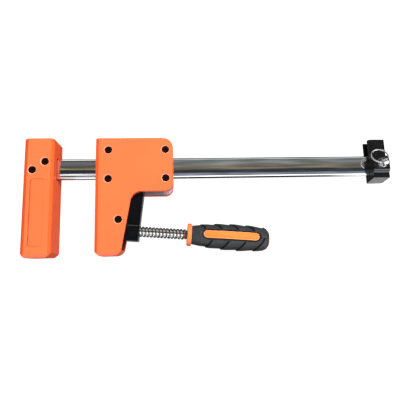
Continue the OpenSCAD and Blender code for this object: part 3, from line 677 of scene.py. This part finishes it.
SCREW_PLACES = screw_places()
FINISHES = {
    "pin": bright_plate("satin nickel", (0.84, 0.84, 0.85), (0.7, 0.7, 0.71), 0.2, 0.3, 0.0002),
    "ring": bright_plate("ring nickel", (0.97, 0.97, 0.97), (0.9, 0.9, 0.9), 0.25, 0.35, 0.0002),
    # The bar's last colour is the painted dark reflection along its edges
    "bar": bright_plate("bar plate", (0.88, 0.89, 0.9), (0.8, 0.81, 0.83), 0.03, 0.07, 0.0001,
                        (0.25, 0.22, 0.23)),
    # The thread's second colour is the painted shade in its roots
    "spindle": shaded_thread("thread with painted shade", (0.62, 0.62, 0.61), (0.13, 0.125, 0.115)),
    # The jaws' pale colour is the painted highlight on the screws' rims
    "orange_plastic": jaw_moulding("orange moulding", (0.95, 0.133, 0.043), (0.92, 0.125, 0.039),
                                   (0.95, 0.29, 0.18), 0.3, 0.4),
    "core_iron": coated_metal("cast iron", (0.12, 0.12, 0.125), (0.07, 0.07, 0.075), 0.55, 0.75, 900, 0.0002),
    # The channel's second colour is the painted shade down the leg
    "core_steel": channel_steel("zinc plated steel", (0.64, 0.59, 0.69), (0.02, 0.010, 0.008), 0.3, 0.42),
    "black_screws": coated_metal("black oxide", (0.008, 0.0035, 0.002), (0.004, 0.0018, 0.001), 0.3, 0.4,
                                 2500, 0.00003, 0.1),
    "black_stop": coated_metal("black enamel", (0.005, 0.005, 0.0055), (0.003, 0.003, 0.0035), 0.14, 0.26,
                               500, 0.00005, 0.35),
    # The arm's last colour is the painted highlight on its boss's upper edge
    "black_arm": coated_metal("black satin coat", (0.003, 0.0035, 0.0045), (0.002, 0.002, 0.0025), 0.16, 0.28,
                              700, 0.00006, 0.12, (0.034, 0.034, 0.036)),
    "nylon": moulded_plastic("natural nylon", (0.6, 0.59, 0.54), (0.54, 0.53, 0.47), 0.4, 0.55),
    "handle_orange": moulded_plastic("handle orange", (0.93, 0.19, 0.05), (0.90, 0.175, 0.044), 0.3, 0.42),
    # The inlays' third colour is the painted highlight on their rolled edges
    "inlay": moulded_plastic("inlay orange", (0.93, 0.164, 0.018), (0.89, 0.152, 0.015), 0.3, 0.42,
                             (0.95, 0.30, 0.13)),
    "grip_rubber": soft_rubber("grip rubber", (0.025, 0.0272, 0.029), (0.003, 0.0033, 0.0035)),
}


# Bar

def bar_section(face_steps, edge_steps):
    """Section of the bar as points round it: each face bows by BAR_CROWN times 1 - (y / flat)^2 and meets
    the next in a quarter circle."""
    low, high = (np.array(corner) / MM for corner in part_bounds("bar"))
    half_height, half_thickness = (high[1] - low[1]) / 2, (high[2] - low[2]) / 2
    flat = half_height - BAR_EDGE_RADIUS
    across = np.linspace(-flat, flat, face_steps)
    bow = half_thickness - BAR_CROWN * (across / flat) ** 2
    turn = np.linspace(0, math.pi / 2, edge_steps)[1:-1]
    edge_y = flat + BAR_EDGE_RADIUS * np.sin(turn)
    edge_z = half_thickness - BAR_CROWN - BAR_EDGE_RADIUS * (1 - np.cos(turn))
    side_z = half_thickness - BAR_CROWN - BAR_EDGE_RADIUS
    front_y = np.concatenate([across, edge_y, [half_height]])
    front_z = np.concatenate([bow, edge_z, [side_z]])
    back_y = np.concatenate([[half_height], edge_y[::-1], across[::-1], -edge_y, [-half_height]])
    back_z = -np.concatenate([[side_z], edge_z[::-1], bow[::-1], edge_z, [side_z]])
    last_y = np.concatenate([[-half_height], -edge_y[::-1]])
    last_z = np.concatenate([[side_z], edge_z[::-1]])
    centre = (low + high) / 2
    return (np.concatenate([front_y, back_y, last_y]) + centre[1],
            np.concatenate([front_z, back_z, last_z]) + centre[2])


def plated_bar():
    """The bar: its section carried along X, closed at both ends by a section shrunk to the middle line."""
    y, z = bar_section(BAR_FACE_STEPS, BAR_EDGE_STEPS)
    low, high = (np.array(corner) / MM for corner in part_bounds("bar"))
    stations = np.concatenate([[low[0]], np.linspace(low[0], high[0], BAR_STATIONS), [high[0]]])
    shrink = np.ones(len(stations))
    shrink[[0, -1]] = 0
    middle_y, middle_z = (low[1] + high[1]) / 2, (low[2] + high[2]) / 2
    points = np.stack(np.broadcast_arrays(
        stations[:, None], middle_y + shrink[:, None] * (y - middle_y)[None],
        middle_z + shrink[:, None] * (z - middle_z)[None]), -1)
    faces = grid_faces(len(stations), len(y), close_columns=True)
    surface_piece("bar_plated", [(points.reshape(-1, 3) * MM, faces)], "frame", "chrome", ["bar"],
                  finish="bar")


# Spindle and handle

def round_spindle(station, radius, turn):
    """Row points in metres from stations along the spindle, radii from its axis and angles from the front."""
    station, radius, turn = np.broadcast_arrays(station, radius, turn)
    away = np.cos(turn)[..., None] * SPINDLE_FRONT + np.sin(turn)[..., None] * SPINDLE_UP
    points = SPINDLE_FOOT + station[..., None] * SPINDLE_AXIS + radius[..., None] * away
    return points.reshape(-1, 3) * MM


def turned(profile, sides=72):
    """Closed surface of revolution: a profile of (station, radius) rows turned round the spindle's axis."""
    profile = np.array(profile, float)
    turn = np.linspace(0, 2 * math.pi, sides, endpoint=False)
    points = round_spindle(profile[:, :1], profile[:, 1:], turn[None])
    return points, grid_faces(len(profile), sides, close_columns=True)


def rounded(profile, radii, steps=6):
    """A profile with each inner corner replaced by an arc: of that radius, touching both its sides."""
    profile = [np.array(point, float) for point in profile]
    made = [profile[0]]
    for before, corner, after, radius in zip(profile, profile[1:], profile[2:], radii):
        into, out = (before - corner), (after - corner)
        into, out = into / np.linalg.norm(into), out / np.linalg.norm(out)
        half = math.acos(np.clip(into @ out, -1, 1)) / 2
        if radius == 0 or half > 1.55:
            made.append(corner)
            continue
        centre = corner + (into + out) / np.linalg.norm(into + out) * radius / math.sin(half)
        start, end = corner + into * radius / math.tan(half), corner + out * radius / math.tan(half)
        for share in np.linspace(0, 1, steps):
            arm = (start - centre) * (1 - share) + (end - centre) * share
            made.append(centre + arm / np.linalg.norm(arm) * radius)
    return made + [profile[-1]]


def threaded_spindle():
    """The spindle: a plain turned core, and a thread of trapezium section carried along a right-hand helix,
    station = start + pitch * turn / 2 pi, that runs out into the core at both ends."""
    root = THREAD_RADIUS - THREAD_DEPTH
    core_radius, core_end = root + 0.02, COLLAR_START + 1
    core = rounded([
        (NOSE_TIP, 0), (NOSE_TIP, NOSE_RADIUS), (GROOVE_START, NOSE_RADIUS), (GROOVE_START, GROOVE_RADIUS),
        (GROOVE_END, GROOVE_RADIUS), (GROOVE_END, NOSE_RADIUS), (THREAD_START, NOSE_RADIUS),
        (THREAD_START + 0.3, core_radius), (core_end, core_radius), (core_end, TANG_RADIUS),
        (TANG_END, TANG_RADIUS), (TANG_END, 0)],
        [1.2, 0.3, 0, 0, 0.3, 0, 0, 0, 0, 0.5])
    along, depth = THREAD_SECTION.T[:, None]
    turns = (THREAD_END - THREAD_START) / THREAD_PITCH - 1
    turn = np.linspace(0, turns * 2 * math.pi, int(turns * THREAD_STEPS))[:, None]
    station = THREAD_START + THREAD_PITCH * (turn / (2 * math.pi) + along)
    near, far = THREAD_RUN_OUT
    run_out = smooth_step(station, THREAD_START + near, THREAD_START + far) * (
        1 - smooth_step(station, THREAD_END - far, THREAD_END - near))
    radius = root + THREAD_DEPTH * depth * run_out
    thread = round_spindle(station, radius, -turn)
    faces = grid_faces(len(turn), len(THREAD_SECTION))
    plain = turned(core)
    heights = np.concatenate([np.full(len(plain[0]), 0.3), np.ravel((radius - root) / THREAD_DEPTH)])
    surface_piece("spindle_threaded", [plain, (thread, faces)], "spindle", "chrome", ["spindle"], 40,
                  "spindle", heights)


def grip_radius(along):
    """Radius of the grip's bow at a distance from the collar: a circle of radius GRIP_BOW about the belly."""
    return GRIP_RADIUS - GRIP_BOW + np.sqrt(GRIP_BOW ** 2 - (along - GRIP_BELLY) ** 2)


def from_inlay(along, turn):
    """Distance over the surface to the nearest inlay's edge, and from that inlay's middle line."""
    share = 2 * math.pi / INLAY_COUNT
    apart = (turn - math.radians(INLAY_TURN) + share / 2) % share - share / 2
    arc = np.abs(apart) * grip_radius(np.clip(along, 0, GRIP_LENGTH))
    past_end = np.maximum(np.abs(along - INLAY_MIDDLE) - (INLAY_HALF_LENGTH - INLAY_HALF_WIDTH), 0)
    return np.hypot(past_end, arc) - INLAY_HALF_WIDTH, arc


def grip_relief(along, turn):
    """Height and tone of the grip's relief: saw-tooth pads in rows that sweep towards the collar away from
    each inlay, phase = (along + sweep * arc - offset) / pitch, falling from 1 to 0.4 with a narrow dark
    groove before the next one, a plain band and a sunk dark rim round the inlays, a plain neck and a plain
    end. The tone is 1 where a pad begins, falls along it, and is 0 in the grooves and the rim."""
    edge, arc = from_inlay(along, turn)
    offset = np.where(np.sin(turn) > 0, PAD_OFFSET_ABOVE, PAD_OFFSET_BELOW)
    phase = ((along + PAD_SWEEP * arc - offset) / PAD_PITCH) % 1
    groove = smooth_step(phase, *GROOVE_OPENS) + 1 - smooth_step(phase, *GROOVE_CLOSES)
    pad = (1 - PAD_FALL * smooth_step(phase, 0.1, 0.9)
           - GROOVE_DROP * groove * smooth_step(phase, 0.5, 0.9))
    on_pads = (smooth_step(edge, *PLAIN_BAND) * smooth_step(along, *PLAIN_NECK)
               * (1 - smooth_step(along, *PLAIN_END)))
    rim = 1 - smooth_step(edge, *DARK_RIM)
    height = PAD_HEIGHT * (PLAIN_LEVEL + (pad - PLAIN_LEVEL) * on_pads - PAD_LEVEL) - DARK_RIM_SINK * rim
    toned = 0.75 + 0.25 * on_pads - 0.2 * on_pads * smooth_step(phase, 0.3, 0.9)
    return height, toned * (1 - groove * on_pads) * (1 - rim)


def soft_grip():
    """The grip: its half section carried round the axis, pushed in by the relief along the section's normal.
    It opens at each inlay down to the core."""
    along = np.linspace(0, GRIP_LENGTH - GRIP_END_ROUND, GRIP_ROWS)
    arc = np.linspace(0, math.pi / 2, GRIP_END_ROWS)[1:]
    along_end = GRIP_LENGTH - GRIP_END_ROUND + GRIP_END_ROUND * np.sin(arc)
    radius_end = grip_radius(GRIP_LENGTH) - GRIP_END_ROUND + GRIP_END_ROUND * np.cos(arc)
    radius = np.concatenate([grip_radius(along), radius_end])
    along = np.concatenate([along, along_end])
    slope_s, slope_r = np.gradient(along), np.gradient(radius)
    size = np.hypot(slope_s, slope_r)
    normal_s, normal_r = -slope_r / size, slope_s / size
    turn = np.linspace(0, 2 * math.pi, GRIP_COLUMNS, endpoint=False)
    s, t = np.meshgrid(along, turn, indexing="ij")
    relief, tone = grip_relief(s, t)
    edge, _ = from_inlay(s, t)
    open_share = smooth_step(-edge, *OPENING_EDGE)
    station = GRIP_START + s + relief * normal_s[:, None]
    outer = radius[:, None] + relief * normal_r[:, None]
    outer = np.maximum(outer + (CORE_RADIUS + OPENING_FLOOR - outer) * open_share, CORE_RADIUS + GRIP_WALL)
    ring = np.ones((1, len(turn)))
    station = np.concatenate([GRIP_START * ring, station, (GRIP_START + GRIP_LENGTH) * ring])
    bore = (CORE_RADIUS + GRIP_BORE) * ring
    outer = np.concatenate([bore, outer, bore])
    points = round_spindle(station, outer, turn[None])
    faces = grid_faces(len(station), len(turn), close_rows=True, close_columns=True)
    heights = np.concatenate([0 * ring, tone * (1 - open_share), 0 * ring])
    surface_piece("grip_treaded", [(points, faces)], "spindle", "grip_rubber", ["handle_grip"], 60,
                  heights=heights)


def handle_inlays():
    """The inlays: stadium shields on the grip's bow. Rows run from the middle line to the edge, where the top
    rolls over in a quarter ellipse, then down the wall and back under."""
    share = np.concatenate([np.linspace(0, INLAY_ROLL_START, INLAY_ROWS),
                            np.linspace(INLAY_ROLL_START + 0.02, 1.0, INLAY_ROWS)])
    roll = np.clip((share - INLAY_ROLL_START) / (1 - INLAY_ROLL_START), 0, 1)
    sink = INLAY_SINK + INLAY_ROLL * (1 - np.sqrt(1 - roll ** 2))
    lap = np.linspace(0, 2 * math.pi, INLAY_STEPS, endpoint=False)
    over = np.cos(lap)
    reach = np.abs(over) * INLAY_END_SHARE
    side = np.sign(over) * (INLAY_HALF_LENGTH - INLAY_HALF_WIDTH) * np.minimum(1, reach)
    bend = np.arctan2(np.sin(lap), np.where(reach >= 1, over - np.sign(over) / INLAY_END_SHARE, 0))
    shells = []
    for turn in range(INLAY_COUNT):
        middle = math.radians(INLAY_TURN) + turn * 2 * math.pi / INLAY_COUNT
        along = INLAY_MIDDLE + side[None] + share[:, None] * INLAY_HALF_WIDTH * np.cos(bend)[None]
        across = share[:, None] * INLAY_HALF_WIDTH * np.sin(bend)[None]
        radius = grip_radius(along) - sink[:, None]
        under = np.full_like(along[:1], CORE_RADIUS - 0.3)
        along = np.concatenate([along, along[-1:], along[:1]])
        across = np.concatenate([across, across[-1:], across[:1]])
        radius = np.concatenate([radius, under, under])
        points = round_spindle(GRIP_START + along, radius, middle + across / grip_radius(along))
        shells.append((points, grid_faces(len(along), INLAY_STEPS, close_columns=True)))
    heights = np.tile(np.repeat(np.concatenate([share, [1, 1]]), INLAY_STEPS), INLAY_COUNT)
    surface_piece("handle_inlays", shells, "spindle", "handle_orange", (), 50, "inlay", heights)


def handle_core():
    """The handle's hard core: the collar with round edges, the core inside the grip and its end."""
    core_end = GRIP_START + GRIP_LENGTH + CORE_PROUD
    profile = rounded([
        (COLLAR_START, 0), (COLLAR_START, COLLAR_RADIUS), (GRIP_START, COLLAR_RADIUS),
        (GRIP_START, CORE_RADIUS), (core_end, CORE_RADIUS), (core_end, 0)], [1.3, 0.8, 0, 0.4])
    surface_piece("handle_collar", [turned(profile, 96)], "spindle", "handle_orange", ["handle_core"])


# Split ring

def wound_ring():
    """The split ring: a round wire carried along two turns of a circle that lie side by side and cross over
    once, height = wire * tanh((turn - 2 pi) / crossing). A lap of no thickness closes each end."""
    eye = np.array(JOINTS["ring_swing"]["pos_m"]) / MM
    hinge = np.array(JOINTS["ring_swing"]["axis"])
    droop, start = math.radians(RING_DROOP), math.radians(RING_START)
    level = np.cross([0, 0, 1], hinge)
    out = level * math.cos(droop) - np.array([0, 0, 1]) * math.sin(droop)
    axis = np.cross(hinge, out)
    centre = eye + out * (RING_RADIUS - RING_SHIFT)
    turn = np.linspace(RING_GAP, 4 * math.pi - RING_GAP, RING_STEPS)
    turn = np.concatenate([turn[:1], turn, turn[-1:]])
    thick = np.ones(len(turn))
    thick[[0, -1]] = 0
    lift = RING_WIRE * np.tanh((turn - 2 * math.pi) / RING_CROSSING)
    around = np.cos(turn + start)[:, None] * hinge + np.sin(turn + start)[:, None] * out
    path = centre + RING_RADIUS * around + lift[:, None] * axis
    lap = np.linspace(0, 2 * math.pi, RING_SIDES, endpoint=False)
    ring = around[:, None] * np.cos(lap)[None, :, None] + axis * np.sin(lap)[None, :, None]
    points = path[:, None] + RING_WIRE * thick[:, None, None] * ring
    faces = grid_faces(len(path), len(lap), close_columns=True)
    surface_piece("ring_wound", [(points.reshape(-1, 3) * MM, faces)], "split_ring", "chrome", ["split_ring"],
                  finish="ring")


# Stage

def camera():
    """The photograph's camera: place, look and up from the fit."""
    look, up = Vector(CAMERA_LOOK).normalized(), Vector(CAMERA_UP)
    right = look.cross(up).normalized()
    up = right.cross(look)
    data = bpy.data.cameras.new("camera")
    data.sensor_width, data.lens = SENSOR_WIDTH, CAMERA_LENS
    data.clip_start = CAMERA_NEAR
    eye = bpy.data.objects.new("camera", data)
    eye.matrix_world = Matrix.Translation(CAMERA_PLACE) @ Matrix((right, up, -look)).transposed().to_4x4()
    bpy.context.scene.collection.objects.link(eye)
    bpy.context.scene.camera = eye


def pale_floor():
    """A wide white sheet that glows a little, as a light table does, and is clear from below, under a white
    tent that only the camera sees: half a globe, its points set by the angle up from the rim and the angle
    round."""
    finish = Finish("pale floor")
    finish.colour(finish.cloud(3, 2, (0.12, 0.12, 0.12), (0.10, 0.10, 0.10)))
    finish.set(Roughness=0.9, Specular_IOR_Level=0.1, Emission_Color=(1, 1, 1, 1), Emission_Strength=1.0)
    clear = finish.node("MixShader")
    finish.feed(finish.node("NewGeometry").outputs["Backfacing"], clear.inputs[0])
    finish.feed(finish.shader.outputs[0], clear.inputs[1])
    finish.feed(finish.node("BsdfTransparent").outputs[0], clear.inputs[2])
    finish.feed(clear.outputs[0], finish.tree.nodes["Material Output"].inputs["Surface"])
    lift, turn = np.meshgrid(np.linspace(0, math.pi / 2, TENT_ROWS),
                             np.linspace(0, 2 * math.pi, TENT_COLUMNS, endpoint=False), indexing="ij")
    globe = np.stack([np.cos(lift) * np.cos(turn), np.cos(lift) * np.sin(turn), np.sin(lift)], -1)
    tent_faces = grid_faces(TENT_ROWS, TENT_COLUMNS, close_columns=True)[:, ::-1].tolist()
    corners = np.array([(-1, -1, 0), (1, -1, 0), (1, 1, 0), (-1, 1, 0)])
    sheets = (("floor", corners, [(0, 1, 2, 3)]), ("tent", globe.reshape(-1, 3), tent_faces))
    for name, points, faces in sheets:
        mesh = bpy.data.meshes.new(name)
        mesh.from_pydata((FLOOR_REACH * points).tolist(), [], faces)
        mesh.materials.append(finish.material)
        sheet = bpy.data.objects.new(name, mesh)
        sheet.visible_diffuse = sheet.visible_glossy = sheet.visible_shadow = False
        bpy.context.scene.collection.objects.link(sheet)


def soft_boxes():
    """Square soft lights, turned to the clamp and kept out of reflections: the strong one over the heels'
    side and the right, and weak ones for the underside, the left, the right and the toes."""
    for name, place, side, power in SOFT_BOXES:
        data = bpy.data.lights.new(name, "AREA")
        data.shape, data.size, data.energy = "SQUARE", side, power
        light = bpy.data.objects.new(name, data)
        light.location = place
        light.rotation_euler = (Vector(LIGHT_AIM) - Vector(place)).to_track_quat("-Z", "Y").to_euler()
        light.visible_glossy = False
        bpy.context.scene.collection.objects.link(light)


def studio():
    """Surroundings that only reflections see. Bands lie overhead, set by the angle from upright towards the
    heel as a share of a half turn. They sway and cloud a little, change from left to right, and end to both
    sides. A white card stands low on the right and goes on below the horizon. The ground is dark, but for
    what lies straight below and a pale patch to each side."""
    world = bpy.data.worlds.new("studio")
    bpy.context.scene.world = world
    world.cycles_visibility.diffuse = False
    world.use_nodes = True
    world.node_tree.nodes.clear()
    sky = Nodes(world.node_tree, "Generated")
    maths, eased, product = sky.maths, sky.eased, sky.product

    def banded(bands):
        made = sky.node("ValToRGB")
        while len(made.color_ramp.elements) < len(bands):
            made.color_ramp.elements.new(0.5)
        for element, (angle, colour) in zip(made.color_ramp.elements, bands):
            element.position = 0.5 + angle / 180
            element.color = (*(colour if isinstance(colour, tuple) else [colour] * 3), 1)
        sky.feed(share, made.inputs["Fac"])
        return made.outputs["Color"]

    # Bands
    x, y, z = sky.split(sky.place)
    sway = maths("MULTIPLY", maths("SUBTRACT", sky.noise(SWAY_SCALE, 2), 0.5), SWAY)
    share = maths("ADD", maths("ADD", maths("DIVIDE", maths("ARCTAN2", y, z), math.pi), 0.5), sway)
    beside = maths("DIVIDE", x, maths("SQRT", maths("SUBTRACT", 1.0001, maths("MULTIPLY", x, x))))
    bands = sky.blend(eased(beside, *SKY_CHANGE), banded(SKY_LEFT), banded(SKY_RIGHT))
    cloudy = sky.node("VectorMath", operation="SCALE")
    sky.feed(bands, cloudy.inputs[0])
    sky.feed(eased(sky.noise(CLOUD_SCALE, 1), *CLOUD_EDGES, *CLOUDS), cloudy.inputs["Scale"])
    side = sky.grey(maths("ADD", maths("MULTIPLY", x, SKY_LEAN), SKY_SIDE))
    above = sky.blend(eased(sky.away(beside, SKY_MIDDLE), *SKY_REACH), side, cloudy.outputs[0])

    # Card and ground
    card = product(eased(x, *CARD_X), eased(y, *CARD_Y))
    above = sky.blend(product(card, eased(z, *CARD_TOP)), above, (CARD_ABOVE,) * 3)
    card_below = product(card, eased(z, *CARD_FOOT, 0.0, CARD_BELOW))
    out = maths("ABSOLUTE", x)
    patch = product(eased(out, *PATCH_INNER_X, 0.0, PATCH), eased(out, *PATCH_OUTER_X),
                    eased(z, *PATCH_LOW_Z), eased(z, *PATCH_HIGH_Z))
    below = eased(z, *GROUND_BELOW_Z, GROUND_BELOW, GROUND_NEAR)
    ground = sky.grey(sky.fold("MAXIMUM", card_below, patch, below))

    back = sky.node("Background")
    sky.feed(sky.blend(maths("GREATER_THAN", z, 0.0), ground, above), back.inputs["Color"])
    sky.feed(back.outputs[0], sky.node("OutputWorld").inputs["Surface"])
    bpy.context.scene.view_settings.view_transform = "Standard"


# Making

camera()
pale_floor()
soft_boxes()
studio()
plated_bar()
threaded_spindle()
soft_grip()
handle_inlays()
handle_core()
wound_ring()
for node, radius in EDGE_ROUNDS.items():
    softened_copy(node, radius)
softened_copy("lock_pin", PIN_ROUND, "pin")
for node in INNER_NODES:
    shown = frame["nodes"][node]
    shown.data.materials.clear()
    shown.data.materials.append(FINISHES[SLOT_OF[node]])
